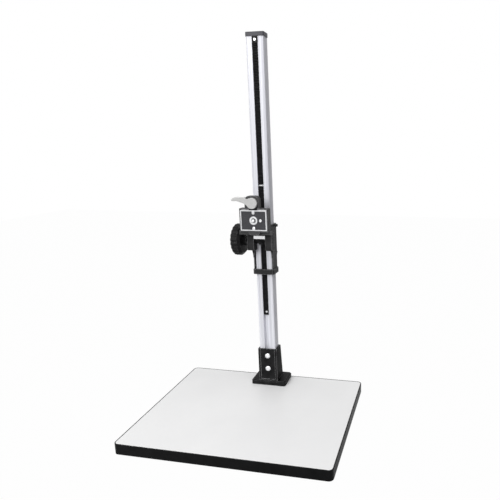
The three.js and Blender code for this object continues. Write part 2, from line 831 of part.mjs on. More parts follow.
function linerPieces() {
  const low = collarTop + linerEndInset;
  const high = wallTop - linerEndInset;
  const inner = halfColumn + seatGap;
  const radius = columnCornerRadius;
  const pieces = [];
  for (const [name, sign] of [['left', -1], ['right', 1]]) {
    const [left, right] = sign > 0 ? [inner, wallInner] : [-wallInner, -inner];
    const plain = box(left, right, radius, columnDepth - radius, low, high);
    pieces.push(toMesh(`side_liner_${name}`, materials.linerPlastic, plain));
    const near = channelHalfWidth + seatGap + columnWall;
    const far = halfColumn - radius;
    const [a, b] = sign > 0 ? [near, far] : [-far, -near];
    const front = box(a, b, -frameBack, -seatGap, webBottom, high);
    pieces.push(toMesh(`front_liner_${name}`, materials.linerPlastic, front));
  }
  const rear = box(
    radius - halfColumn, halfColumn - radius, columnDepth + seatGap, wallBack,
    linerEndInset - rearPlateBottom, high,
  );
  pieces.push(toMesh('rear_liner', materials.linerPlastic, rear));
  const bush = polygon([
    [-wallInner, -frameBack], [wallInner, -frameBack], [wallInner, wallBack], [-wallInner, wallBack],
  ]);
  const innerBack = columnDepth + seatGap;
  bush.holes.push(polygon([
    [-inner, -seatGap], [inner, -seatGap], [inner, innerBack], [-inner, innerBack],
  ]));
  pieces.push(toMesh('collar_bush', materials.linerPlastic, prism(bush, 'z', -collarDrop, collarTop)));
  return pieces;
}

function rearPlatePieces() {
  const plateShape = roundedRect(
    -wallOuter, wallOuter, -rearPlateBottom, wallTop, wallCornerRadius / 2,
  );
  const back = wallBack + rearPlateThickness;
  const plate = cut(prism(plateShape, 'y', wallBack, back), ...rearScrewHoles());
  const pieces = [toMesh('rear_plate', materials.blackSteel, plate)];
  rearScrewPlaces().forEach(([x, z], index) => {
    const end = wallBack - rearScrewReach;
    const screw = turned('y', x, z, [
      [0, end], [rearScrewRadius, end], [rearScrewRadius, back], [rearScrewHeadRadius, back],
      [rearScrewHeadRadius, back + rearScrewHeadHeight / 2],
      [rearScrewHeadRadius / 2, back + rearScrewHeadHeight], [0, back + rearScrewHeadHeight],
    ], tinySides);
    pieces.push(toMesh(`rear_plate_screw_${index + 1}`, materials.blackSteel, screw));
  });
  return pieces;
}

function carriagePieces() {
  const frame = toMesh('carriage_frame', materials.blackCasting, frameSolid());
  const pieces = [frame, ...linerPieces(), ...rearPlatePieces()];
  const aroundShaft = (radius, from, to) => rod('x', pinionAxisBack, 0, radius, from, to, roundSides);
  const flangeEnd = -leftBlockOuter - bushFlange;
  const rightEnd = rightBlockOuter - wallThickness;
  const bore = aroundShaft(shaftRadius + seatGap, flangeEnd - cutOverrun, rightBlockOuter);
  const leftBush = cut(
    joined(
      aroundShaft(bushRadius, -leftBlockOuter, -leftBlockInner),
      aroundShaft(bushRadius + bushFlangeReach, flangeEnd, -leftBlockOuter),
    ),
    bore,
  );
  const rightBush = cut(aroundShaft(bushRadius, rightBlockInner, rightEnd), bore);
  pieces.push(toMesh('shaft_bush_left', materials.linerPlastic, leftBush));
  pieces.push(toMesh('shaft_bush_right', materials.linerPlastic, rightBush));
  for (const [name, height] of [['upper', upperSetScrewHeight], ['lower', -lowerSetScrewDrop]]) {
    const from = rightBlockOuter - setScrewDepth;
    const to = rightBlockOuter - setScrewSink;
    const screw = cut(
      rod('x', -setScrewFront, height, setScrewRadius, from, to),
      rod('x', -setScrewFront, height, setScrewRadius / 2, to - hexDepth, rightBlockOuter, hexSides),
    );
    pieces.push(toMesh(`bush_set_screw_${name}`, materials.blackSteel, screw));
  }
  const guardFront = guardInset - blockReach;
  const guard = box(
    -leftBlockInner, rightBlockInner, guardFront, guardFront + guardThickness, guardBottom, guardTop,
  );
  pieces.push(toMesh('pinion_guard', materials.brightSteel, guard));
  return pieces;
}

function frictionScrew() {
  const points = [];
  const steps = frictionHeadFlutes * fluteSteps;
  for (let i = 0; i < steps; i += 1) {
    const angle = i * 2 * Math.PI / steps;
    const radius = frictionHeadRadius - (i % fluteSteps === 0 ? frictionFluteDepth : 0);
    const back = frictionScrewBack + radius * Math.cos(angle);
    points.push([back, frictionScrewHeight + radius * Math.sin(angle)]);
  }
  const headFrom = wallOuter + seatGap;
  const head = prism(polygon(points), 'x', headFrom, headFrom + frictionHeadLength, frictionFluteDepth);
  const stem = rod(
    'x', frictionScrewBack, frictionScrewHeight, frictionScrewRadius, wallInner + seatGap,
    headFrom + seatGap,
  );
  return joined(head, stem);
}

// Drive: shaft, pinion and knob, in places from the shaft's axis

function pinionSolid() {
  const half = (Math.PI / pinionTeeth - toothBacklash / pinionRadius) / 2;
  const tip = pinionRadius + toothAddendum - toothBacklash / 2;
  const root = pinionRadius - toothDedendum;
  const shares = gearFlankShares;
  const flank = [[root, shares.root], [pinionRadius, shares.pitch], [tip, shares.tip]];
  const tooth = [...flank.map(([radius, share]) => [radius, -share]), ...flank.toReversed()];
  const points = [];
  for (let i = 0; i < pinionTeeth; i += 1) {
    const middle = i * 2 * Math.PI / pinionTeeth;
    for (const [radius, share] of tooth) {
      const angle = middle + share * half;
      points.push([radius * Math.cos(angle), radius * Math.sin(angle)]);
    }
  }
  const teeth = prism(polygon(points), 'x', -pinionWidth / 2, pinionWidth / 2);
  const hubEnds = [seatGap - leftBlockInner, rightBlockInner - seatGap];
  const hub = rod('x', 0, 0, pinionHubRadius, ...hubEnds, roundSides);
  const bore = rod('x', 0, 0, shaftRadius + seatGap, -leftBlockOuter, rightBlockOuter, roundSides);
  return cut(joined(teeth, hub), bore);
}

const knobRight = -leftBlockOuter - bushFlange - seatGap;
const knobRimRight = knobRight - knobHubLength;
const knobLeft = knobRimRight - knobWidth;

function knobSolid() {
  const points = [];
  const steps = knobFlutes * knobFluteSteps;
  for (let i = 0; i < steps; i += 1) {
    const angle = i * 2 * Math.PI / steps;
    const dip = Math.max(0, Math.cos(knobFlutes * angle)) * knobFluteDepth;
    points.push([(knobRadius - dip) * Math.cos(angle), (knobRadius - dip) * Math.sin(angle)]);
  }
  const wide = knobRadius + cutOverrun;
  const innerCone = turned('x', 0, 0, [
    [0, knobLeft - cutOverrun], [wide, knobLeft - cutOverrun],
    [wide, knobRimRight - knobInnerChamfer - cutOverrun], [knobRadius - knobInnerChamfer, knobRimRight],
    [0, knobRimRight],
  ], wideSides);
  const rim = prism(polygon(points), 'x', knobLeft, knobRimRight, knobChamfer).intersect(innerCone);
  const hub = rod('x', 0, 0, knobHubRadius, knobRimRight - knobChamfer, knobRight, roundSides);
  const coverSeat = knobLeft + knobCoverThickness;
  const wellEnds = [knobLeft - cutOverrun, coverSeat];
  const coverWell = rod('x', 0, 0, knobCoverRadius + seatGap, ...wellEnds, wideSides);
  const boreEnds = [coverSeat + knobWeb, knobRight + cutOverrun];
  const shaftBore = rod('x', 0, 0, shaftRadius + seatGap, ...boreEnds, roundSides);
  const grubAlong = knobRight - knobHubLength / 2;
  const grubHole = rod('z', grubAlong, 0, grubRadius + seatGap, 0, knobHubRadius + cutOverrun);
  return cut(joined(rim, hub), coverWell, shaftBore, grubHole);
}

function drivePieces() {
  const shaftLeft = knobLeft + knobCoverThickness + knobWeb + seatGap;
  const shaftRight = rightBlockOuter - wallThickness - seatGap;
  const shaft = rod('x', 0, 0, shaftRadius, shaftLeft, shaftRight, roundSides);
  const coverEnds = [knobLeft + capDraft, knobLeft + knobCoverThickness];
  const cover = rod('x', 0, 0, knobCoverRadius, ...coverEnds, wideSides);
  const grubFrom = shaftRadius + seatGap;
  return [
    toMesh('pinion_shaft', materials.brightSteel, shaft),
    toMesh('drive_pinion', materials.blackSteel, pinionSolid()),
    toMesh('drive_knob', materials.blackPlastic, knobSolid()),
    toMesh('knob_cover', materials.greyPlastic, cover),
    toMesh('knob_grub_screw', materials.blackSteel,
      rod('z', knobRight - knobHubLength / 2, 0, grubRadius, grubFrom, grubFrom + grubLength)),
  ];
}

// Clamp, in places from the middle of its plate on the platform's front face

const pocketBack = plateBack - seatGap;
const camBack = plateBack;
const camFront = camBack + camThickness;
const pocketFront = camFront + seatGap;
const springWellFront = 2 * seatGap + springWireRadius - pocketBack;
const plateHeadFloor = -plateBack - cameraScrewHeadThickness - seatGap;
const grooveFloor = plateHeadFloor - plateRim;

// The cam's radius falls evenly over the lever's swing, so that the jaw follows it evenly
function camSolid() {
  const swing = THREE.MathUtils.degToRad(leverSwingDegrees);
  const points = [];
  for (let i = 0; i < roundSides; i += 1) {
    const angle = i * 2 * Math.PI / roundSides;
    const fall = angle < swing ? angle / swing : 1;
    const rise = Math.max(0, (angle - 1.5 * Math.PI) / (Math.PI / 2));
    const radius = camRadius - jawTravel * Math.max(0, fall - rise);
    points.push([-camOffset + radius * Math.sin(angle), camHeight - radius * Math.cos(angle)]);
  }
  const shaftFront = -clampDepth - leverSocketDepth;
  const shaftBack = -housingBack - springCapThickness - seatGap;
  return joined(
    prism(polygon(points), 'y', -camFront, -camBack),
    rod('y', -camOffset, camHeight, camShaftRadius, shaftFront, shaftBack),
  );
}

function clampBodySolid() {
  const block = box(-clampLeft, clampRight, -clampDepth, 0, -clampBottom, clampTop);
  const ledgeTop = ledgeChamfer - clampBottom;
  const ledgeShape = chamferedRect(-ledgeDepth, 0, -clampBottom - ledgeHeight, ledgeTop, ledgeChamfer);
  const ledge = prism(ledgeShape, 'x', -ledgeLeft, ledgeRight);
  const lugShape = roundedRect(
    -lugHalfWidth, lugHalfWidth, -clampBottom - lugHeight, lugHeight - clampBottom, lugHeight,
  );
  const lug = prism(lugShape, 'y', -clampDepth, lugDepth - clampDepth);
  const housingShape = roundedRect(-housingLeft, housingRight, 0, housingTop, housingCornerRadius);
  const housing = prism(housingShape, 'y', -housingFront, -housingBack);
  const seatLeft = -plateHalfWidth - seatGap;
  const seatTop = plateFlangeHalfHeight + seatGap;
  const seatRight = clampRight + cutOverrun;
  const seat = box(
    seatLeft, seatRight, -clampDepth - cutOverrun, -plateBack, -plateHalfHeight - seatGap, seatTop,
  );
  const undercut = box(seatLeft, seatRight, -flangeFront - seatGap, -plateBack, -seatTop, seatTop);
  const jawLeft = -camOffset - jawHalfWidth - seatGap;
  const jawRight = jawHalfWidth + seatGap - camOffset;
  const noseTop = plateHalfHeight + seatGap + jawNoseHeight + jawTravel + seatGap;
  const front = -clampDepth - cutOverrun;
  const nosePocket = box(jawLeft, jawRight, front, -pocketBack, 0, noseTop);
  const pocketEnds = [-pocketFront, -pocketBack];
  const slidePocket = box(jawLeft, jawRight, ...pocketEnds, 0, jawTop + jawTravel + seatGap);
  const pocketRadius = camRadius + 2 * seatGap;
  const camPocket = rod('y', -camOffset, camHeight, pocketRadius, ...pocketEnds, roundSides);
  const shaftHole = rod('y', -camOffset, camHeight, camShaftRadius + seatGap, front, 0);
  const springWell = rod(
    'y', -camOffset, camHeight, springCapRadius + seatGap, springWellFront, cutOverrun, roundSides,
  );
  const threads = clampBolts().map((height) => rod(
    'y', 0, height - clampHeight, clampBoltRadius + seatGap, -clampBoltReach - seatGap, cutOverrun,
  ));
  return cut(
    joined(block, ledge, lug, housing), seat, undercut, nosePocket, slidePocket, camPocket,
    shaftHole, springWell, ...threads,
  );
}

function plateSolid() {
  const half = plateHalfWidth;
  const flangeHalf = plateFlangeHalfHeight;
  const blank = joined(
    box(-half, half, -plateFront, -plateBack, -plateHalfHeight, plateHalfHeight),
    box(-half, half, -flangeFront, -plateBack, -flangeHalf, flangeHalf),
  );
  const padFloor = padThickness - plateFront;
  const dish = cut(
    box(
      plateRim - plateHalfWidth, plateHalfWidth - plateRim, -plateFront - cutOverrun, padFloor,
      plateRim - plateHalfHeight, plateHalfHeight - plateRim,
    ),
    ...notches(notchRadius, -plateFront, padFloor),
    rod('y', 0, 0, ringRadius, -plateFront, padFloor, wideSides),
  );
  const front = -plateFront - cutOverrun;
  const ringHole = rod('y', 0, 0, ringHoleRadius, front, grooveFloor, wideSides);
  const neck = rod('y', 0, 0, cameraScrewRadius + seatGap, front, 0, roundSides);
  const wellRadius = cameraScrewHeadRadius + seatGap;
  const headWell = rod('y', 0, 0, wellRadius, plateHeadFloor, cutOverrun, wideSides);
  const pinBore = rod('y', pinOffset, 0, pinRadius + seatGap, front, -plateBack - pinBoreEnd);
  return cut(blank, dish, ringHole, neck, headWell, pinBore);
}

// A dark washer in the ring's groove, round the camera screw
function screwWasherSolid() {
  const front = grooveFloor - screwWasherThickness;
  return cut(
    rod('y', 0, 0, ringHoleRadius - seatGap, front, grooveFloor, wideSides),
    rod('y', 0, 0, cameraScrewRadius + seatGap, front - cutOverrun, cutOverrun, roundSides),
  );
}

// Half-round marks of bare metal in the pad's upper and lower edge
function notches(radius, front, back) {
  const edge = plateHalfHeight - plateRim;
  const middle = edge - notchInset;
  const upper = rod('y', 0, middle, radius, front, back, roundSides);
  const lower = rod('y', 0, -middle, radius, front, back, roundSides);
  return [
    joined(upper, box(-radius, radius, front, back, middle, edge)),
    joined(lower, box(-radius, radius, front, back, -edge, -middle)),
  ];
}

function padSolid() {
  const padFloor = padThickness - plateFront;
  const sheet = box(
    plateRim + seatGap - plateHalfWidth, plateHalfWidth - plateRim - seatGap, -plateFront, padFloor,
    plateRim + seatGap - plateHalfHeight, plateHalfHeight - plateRim - seatGap,
  );
  const cutFront = -plateFront - cutOverrun;
  return cut(
    sheet,
    ...notches(notchRadius + seatGap, cutFront, 0),
    rod('y', 0, 0, ringRadius + seatGap, cutFront, 0, wideSides),
    rod('y', pinOffset, 0, pinRadius + seatGap, cutFront, 0),
  );
}

function cameraScrewSolid() {
  const headBack = -plateBack - seatGap;
  const headFront = headBack - cameraScrewHeadThickness + seatGap;
  const tip = -plateFront - cameraScrewReach;
  const slot = box(
    -cameraScrewHeadRadius, cameraScrewHeadRadius, headBack - cameraScrewHeadThickness / 2, cutOverrun,
    -seatGap * 2, seatGap * 2,
  );
  return cut(turned('y', 0, 0, [
    [0, headBack], [cameraScrewHeadRadius, headBack], [cameraScrewHeadRadius, headFront],
    [cameraScrewRadius, headFront], [cameraScrewRadius, tip + seatGap * 2],
    [cameraScrewRadius - seatGap * 2, tip], [0, tip],
  ], roundSides), slot);
}

function leverSolid() {
  const arcFrom = leverArcShares.from * Math.PI;
  const arcTo = leverArcShares.to * Math.PI;
  const heel = [
    leverBossRadius * Math.cos(arcFrom) - camOffset, camHeight + leverBossRadius * Math.sin(arcFrom),
  ];
  const underside = leverTipHeight - leverNose;
  const shape = new THREE.Shape();
  shape.moveTo(...heel);
  shape.absarc(-camOffset, camHeight, leverBossRadius, arcFrom, arcTo);
  shape.lineTo(-leverNotch, leverNotchHeight);
  shape.lineTo(-leverShoulder, leverTopEdge);
  shape.lineTo(leverTipRun - leverTip, leverTopEdge);
  shape.quadraticCurveTo(leverTipRun / 2 - leverTip, leverTopEdge, -leverTip, leverTipHeight);
  shape.quadraticCurveTo(-leverTip, underside, leverNose - leverTip, underside);
  shape.lineTo(-leverHeel, underside);
  shape.quadraticCurveTo(-leverShoulder, camHeight, ...heel);
  const back = -clampDepth - seatGap;
  const blank = prism(shape, 'y', back - leverThickness, back, ledgeChamfer, curveSteps);
  const socket = rod(
    'y', -camOffset, camHeight, camShaftRadius + seatGap, -clampDepth - leverSocketDepth - seatGap, 0,
  );
  return cut(blank, socket);
}

function jawSolid() {
  const noseBottom = plateHalfHeight + seatGap;
  const noseBack = -flangeFront - seatGap;
  const slideBottom = plateFlangeHalfHeight + seatGap;
  const side = polygon([
    [noseBack - jawNoseThickness, noseBottom], [noseBack, noseBottom], [noseBack, slideBottom],
    [-plateBack, slideBottom], [-plateBack, jawTop], [noseBack, jawTop],
    [noseBack, noseBottom + jawNoseHeight], [noseBack - jawNoseThickness, noseBottom + jawNoseHeight],
  ]);
  return prism(side, 'x', -camOffset - jawHalfWidth, jawHalfWidth - camOffset);
}

function clampPieces() {
  const pinFront = -plateFront - pinReach;
  const pinBack = pinSunk - plateFront;
  const pin = rod('y', pinOffset, 0, pinRadius, pinFront, pinBack);
  const pinSpring = springSolid(
    'pin spring', pinSpringRadius, pinSpringWireRadius, pinBack + pinTravel + seatGap,
    -plateBack - pinBoreEnd, pinSpringTurns,
  ).translate([pinOffset, 0, 0]);
  const capFront = -housingBack - springCapThickness;
  const leverSpring = springSolid(
    'lever spring', springRadius, springWireRadius, springWellFront, capFront - seatGap, springTurns,
  ).translate([-camOffset, 0, camHeight]);
  const capEnds = [capFront, -housingBack];
  const cap = rod('y', -camOffset, camHeight, springCapRadius, ...capEnds, roundSides);
  const pieces = [
    toMesh('clamp_body', materials.blackCasting, clampBodySolid()),
    toMesh('release_plate', materials.plateMetal, plateSolid()),
    toMesh('plate_pad', materials.rubber, padSolid()),
    toMesh('camera_screw', materials.brightSteel, cameraScrewSolid()),
    toMesh('screw_washer', materials.blackPlastic, screwWasherSolid()),
    toMesh('alignment_pin', materials.brightSteel, pin),
    toMesh('alignment_pin_spring', materials.brightSteel, pinSpring),
    toMesh('lock_lever', materials.leverGrey, leverSolid()),
    toMesh('lever_cam', materials.blackSteel, camSolid()),
    toMesh('lever_spring', materials.brightSteel, leverSpring),
    toMesh('lever_spring_cap', materials.blackPlastic, cap),
    toMesh('moving_jaw', materials.blackSteel, jawSolid()),
  ];
  clampBolts().forEach((height, index) => {
    const z = height - clampHeight;
    const seat = platformThickness;
    const bolt = turned('y', 0, z, [
      [0, -clampBoltReach], [clampBoltRadius, -clampBoltReach], [clampBoltRadius, seat],
      [clampBoltHeadRadius, seat], [clampBoltHeadRadius, seat + clampBoltHeadHeight],
      [0, seat + clampBoltHeadHeight],
    ]);
    const end = seat + clampBoltHeadHeight;
    const recess = rod('y', 0, z, hexRadius, end - hexDepth, end + cutOverrun, hexSides);
    pieces.push(toMesh(`clamp_bolt_${index + 1}`, materials.blackSteel, cut(bolt, recess)));
  });
  return pieces;
}

// Assembly

const stand = new THREE.Group();
stand.name = 'copy_stand';
stand.add(...boardPieces(), ...socketPieces(), ...columnPieces());

const carriage = new THREE.Group();
carriage.position.set(0, columnFront, pinionAxisHeight);
carriage.add(...carriagePieces(), toMesh('friction_screw', materials.blackPlastic, frictionScrew()));
stand.add(carriage);

const drive = new THREE.Group();
drive.position.set(0, pinionAxisBack, 0);
drive.add(...drivePieces());
carriage.add(drive);

const clamp = new THREE.Group();
clamp.position.set(0, -platformReach, clampHeight);
clamp.add(...clampPieces());
carriage.add(clamp);

export default stand;
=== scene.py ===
import json
import math

import bmesh
import bpy
from mathutils import Matrix, Vector

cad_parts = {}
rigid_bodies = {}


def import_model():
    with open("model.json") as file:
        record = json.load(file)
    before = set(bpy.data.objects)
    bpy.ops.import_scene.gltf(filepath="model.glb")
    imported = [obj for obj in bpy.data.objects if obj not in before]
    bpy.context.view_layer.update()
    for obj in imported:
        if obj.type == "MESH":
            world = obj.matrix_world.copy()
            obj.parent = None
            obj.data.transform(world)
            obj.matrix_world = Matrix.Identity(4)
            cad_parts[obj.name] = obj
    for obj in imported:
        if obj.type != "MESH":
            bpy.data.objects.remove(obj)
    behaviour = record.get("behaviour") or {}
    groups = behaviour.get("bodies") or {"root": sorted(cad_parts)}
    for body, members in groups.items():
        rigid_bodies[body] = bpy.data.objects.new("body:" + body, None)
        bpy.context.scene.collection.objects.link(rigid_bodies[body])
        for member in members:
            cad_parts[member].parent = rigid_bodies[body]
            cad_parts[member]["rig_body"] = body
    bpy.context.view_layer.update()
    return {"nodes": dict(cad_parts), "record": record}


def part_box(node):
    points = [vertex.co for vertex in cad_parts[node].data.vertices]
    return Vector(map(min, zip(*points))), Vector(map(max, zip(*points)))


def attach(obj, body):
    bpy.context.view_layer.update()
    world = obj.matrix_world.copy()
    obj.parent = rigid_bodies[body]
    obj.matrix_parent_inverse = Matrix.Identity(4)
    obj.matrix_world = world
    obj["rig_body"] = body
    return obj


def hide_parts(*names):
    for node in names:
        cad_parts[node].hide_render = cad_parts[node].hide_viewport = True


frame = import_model()
scene = bpy.context.scene
scene.view_settings.view_transform = "Standard"
print("frame loaded:", len(frame["nodes"]), "nodes")


# Node helpers

def addNode(tree, kind, spot=(0, 0), **values):
    node = tree.nodes.new(kind)
    node.location = spot
    for name, value in values.items():
        setattr(node, name, value)
    return node


def setInputs(node, values):
    for name, value in values.items():
        node.inputs[name].default_value = value


def setRange(node, limits):
    setInputs(node, {"From Min": limits[0], "From Max": limits[1]})


def addShownRays(tree, spot):
    # 1 for what the camera, a gloss or a clear surface sees, and 0 for light that falls on the object
    across, up = spot
    path = addNode(tree, "ShaderNodeLightPath", (across, up))
    mirrored = addNode(tree, "ShaderNodeMath", (across + 200, up), operation="MAXIMUM")
    shown = addNode(tree, "ShaderNodeMath", (across + 400, up), operation="MAXIMUM")
    tree.links.new(path.outputs["Is Camera Ray"], mirrored.inputs[0])
    tree.links.new(path.outputs["Is Glossy Ray"], mirrored.inputs[1])
    tree.links.new(mirrored.outputs["Value"], shown.inputs[0])
    tree.links.new(path.outputs["Is Transmission Ray"], shown.inputs[1])
    return shown.outputs["Value"]


def startGroup(name, kind, inputs, outputs):
    tree = bpy.data.node_groups.new(name, kind)
    for socketName, socketType, value in inputs:
        socket = tree.interface.new_socket(socketName, in_out="INPUT", socket_type=socketType)
        if value is not None:
            socket.default_value = value
    for socketName, socketType in outputs:
        tree.interface.new_socket(socketName, in_out="OUTPUT", socket_type=socketType)
    first = addNode(tree, "NodeGroupInput", (-900, 0))
    last = addNode(tree, "NodeGroupOutput", (900, 0))
    return tree, first, last


# Shader groups, shared by the finishes

grainSettings = {
    "patchDetail": 4.0, "patchRoughness": 0.6, "patchRange": (0.35, 0.65),
    "grainDetail": 3.0, "grainRoughness": 0.55,
    "patchShare": 0.5, "grainShare": 0.5, "roughRange": (0.3, 0.7),  # what the roughness follows
    "bumpStrength": 0.8,
}


def makeGrainGroup(settings):
    # fine bump, slow colour patches and roughness that follows both
    tree, first, last = startGroup("surfaceGrain", "ShaderNodeTree", [
        ("Colour", "NodeSocketColor", (0.5, 0.5, 0.5, 1)),
        ("Patch Colour", "NodeSocketColor", (0.4, 0.4, 0.4, 1)),
        ("Stretch", "NodeSocketVector", (1, 1, 1)),
        ("Patch Scale", "NodeSocketFloat", 30.0),
        ("Grain Scale", "NodeSocketFloat", 900.0),
        ("Grain Height", "NodeSocketFloat", 0.00002),
        ("Rough Low", "NodeSocketFloat", 0.4),
        ("Rough High", "NodeSocketFloat", 0.6),
    ], [
        ("Colour", "NodeSocketColor"), ("Roughness", "NodeSocketFloat"), ("Normal", "NodeSocketVector"),
    ])
    place = addNode(tree, "ShaderNodeTexCoord", (-900, -300))
    stretch = addNode(tree, "ShaderNodeVectorMath", (-680, -200), operation="MULTIPLY")
    patches = addNode(tree, "ShaderNodeTexNoise", (-460, 160))
    setInputs(patches, {"Detail": settings["patchDetail"], "Roughness": settings["patchRoughness"]})
    grain = addNode(tree, "ShaderNodeTexNoise", (-460, -200))
    setInputs(grain, {"Detail": settings["grainDetail"], "Roughness": settings["grainRoughness"]})
    blend = addNode(tree, "ShaderNodeMix", (60, 200), data_type="RGBA")
    spread = addNode(tree, "ShaderNodeMapRange", (-200, 160))
    setRange(spread, settings["patchRange"])
    rough = addNode(tree, "ShaderNodeMapRange", (60, -60))
    setRange(rough, settings["roughRange"])
    both = addNode(tree, "ShaderNodeMath", (-200, -60), operation="MULTIPLY_ADD")
    both.inputs[1].default_value = settings["patchShare"]
    half = addNode(tree, "ShaderNodeMath", (-300, -240), operation="MULTIPLY")
    half.inputs[1].default_value = settings["grainShare"]
    bump = addNode(tree, "ShaderNodeBump", (300, -260))
    setInputs(bump, {"Strength": settings["bumpStrength"]})
    link = tree.links.new
    link(place.outputs["Object"], stretch.inputs[0])
    link(first.outputs["Stretch"], stretch.inputs[1])
    for texture, scale in ((patches, "Patch Scale"), (grain, "Grain Scale")):
        link(stretch.outputs["Vector"], texture.inputs["Vector"])
        link(first.outputs[scale], texture.inputs["Scale"])
    link(patches.outputs["Fac"], spread.inputs["Value"])
    link(spread.outputs["Result"], blend.inputs["Factor"])
    link(first.outputs["Colour"], blend.inputs["A"])
    link(first.outputs["Patch Colour"], blend.inputs["B"])
    link(grain.outputs["Fac"], half.inputs[0])
    link(patches.outputs["Fac"], both.inputs[0])
    link(half.outputs["Value"], both.inputs[2])
    link(both.outputs["Value"], rough.inputs["Value"])
    link(first.outputs["Rough Low"], rough.inputs["To Min"])
    link(first.outputs["Rough High"], rough.inputs["To Max"])
    link(grain.outputs["Fac"], bump.inputs["Height"])
    link(first.outputs["Grain Height"], bump.inputs["Distance"])
    link(blend.outputs["Result"], last.inputs["Colour"])
    link(rough.outputs["Result"], last.inputs["Roughness"])
    link(bump.outputs["Normal"], last.inputs["Normal"])
    return tree


paintedHighlightSettings = {
    "radius": 0.0015, "samples": 8,  # how far from an edge the painted highlight reaches, in metres
    "turnRange": (0.99, 0.9),  # cosine between the face's normal and the rounded one
    "outerRange": (0.49, 0.515),  # keeps the painted highlight out of inner corners
    "breakDetail": 5.0, "breakRoughness": 0.7, "breakRange": (0.36, 0.54),
}


def makePaintedHighlightGroup(settings):
    # painted highlight: a lighter colour on the outer edges, broken up by noise
    tree, first, last = startGroup("paintedEdgeHighlight", "ShaderNodeTree", [
        ("Colour", "NodeSocketColor", (0.1, 0.1, 0.1, 1)),
        ("Highlight Colour", "NodeSocketColor", (0.4, 0.4, 0.4, 1)),
        ("Amount", "NodeSocketFloat", 0.4),
        ("Break Scale", "NodeSocketFloat", 250.0),
    ], [("Colour", "NodeSocketColor")])
    shape = addNode(tree, "ShaderNodeNewGeometry", (-1300, 260))
    turned = addNode(tree, "ShaderNodeBevel", (-1300, 60), samples=settings["samples"])
    setInputs(turned, {"Radius": settings["radius"]})
    alike = addNode(tree, "ShaderNodeVectorMath", (-1100, 160), operation="DOT_PRODUCT")
    near = addNode(tree, "ShaderNodeMapRange", (-900, 160))
    setRange(near, settings["turnRange"])
    outer = addNode(tree, "ShaderNodeMapRange", (-900, 360))
    setRange(outer, settings["outerRange"])
    edge = addNode(tree, "ShaderNodeMath", (-680, 260), operation="MULTIPLY")
    place = addNode(tree, "ShaderNodeTexCoord", (-900, -260))
    noise = addNode(tree, "ShaderNodeTexNoise", (-680, -200))
    setInputs(noise, {"Detail": settings["breakDetail"], "Roughness": settings["breakRoughness"]})
    broken = addNode(tree, "ShaderNodeMapRange", (-460, -200))
    setRange(broken, settings["breakRange"])
    both = addNode(tree, "ShaderNodeMath", (-240, 100), operation="MULTIPLY")
    scaled = addNode(tree, "ShaderNodeMath", (-20, 100), operation="MULTIPLY")
    blend = addNode(tree, "ShaderNodeMix", (300, 100), data_type="RGBA")
    link = tree.links.new
    link(shape.outputs["Normal"], alike.inputs[0])
    link(turned.outputs["Normal"], alike.inputs[1])
    link(alike.outputs["Value"], near.inputs["Value"])
    link(shape.outputs["Pointiness"], outer.inputs["Value"])
    link(near.outputs["Result"], edge.inputs[0])
    link(outer.outputs["Result"], edge.inputs[1])
    link(place.outputs["Object"], noise.inputs["Vector"])
    link(first.outputs["Break Scale"], noise.inputs["Scale"])
    link(noise.outputs["Fac"], broken.inputs["Value"])
    link(edge.outputs["Value"], both.inputs[0])
    link(broken.outputs["Result"], both.inputs[1])
    link(both.outputs["Value"], scaled.inputs[0])
    link(first.outputs["Amount"], scaled.inputs[1])
    link(scaled.outputs["Value"], blend.inputs["Factor"])
    link(first.outputs["Colour"], blend.inputs["A"])
    link(first.outputs["Highlight Colour"], blend.inputs["B"])
    link(blend.outputs["Result"], last.inputs["Colour"])
    return tree


grainGroup = makeGrainGroup(grainSettings)
paintedHighlightGroup = makePaintedHighlightGroup(paintedHighlightSettings)


def makeFinish(name, settings):
    # the grain group, then the painted edge highlight group where the finish has any, on a Principled
    # shader
    material = bpy.data.materials.new(name)
    material.use_nodes = True
    tree = material.node_tree
    shader = tree.nodes["Principled BSDF"]
    setInputs(shader, settings.get("shader", {}))
    grain = addNode(tree, "ShaderNodeGroup", (-700, 100), node_tree=grainGroup)
    colour, patch = settings["colours"]
    setInputs(grain, {
        "Colour": (*colour, 1), "Patch Colour": (*patch, 1),
        "Stretch": settings.get("stretch", (1, 1, 1)),
        "Patch Scale": settings["patchScale"], "Grain Scale": settings["grainScale"],
        "Grain Height": settings["grainHeight"],
        "Rough Low": settings["rough"][0], "Rough High": settings["rough"][1],
    })
    link = tree.links.new
    link(grain.outputs["Roughness"], shader.inputs["Roughness"])
    link(grain.outputs["Normal"], shader.inputs["Normal"])
    # a lighter colour on the outer edges, painted on as a highlight
    if "edgeHighlight" in settings:
        edgeHighlight = addNode(tree, "ShaderNodeGroup", (-400, 200), node_tree=paintedHighlightGroup)
        edgeHighlightValues = settings["edgeHighlight"]
        setInputs(edgeHighlight, {"Highlight Colour": (*edgeHighlightValues["colour"], 1), "Amount": edgeHighlightValues["amount"]})
        link(grain.outputs["Colour"], edgeHighlight.inputs["Colour"])
        link(edgeHighlight.outputs["Colour"], shader.inputs["Base Color"])
    else:
        link(grain.outputs["Colour"], shader.inputs["Base Color"])
    return material
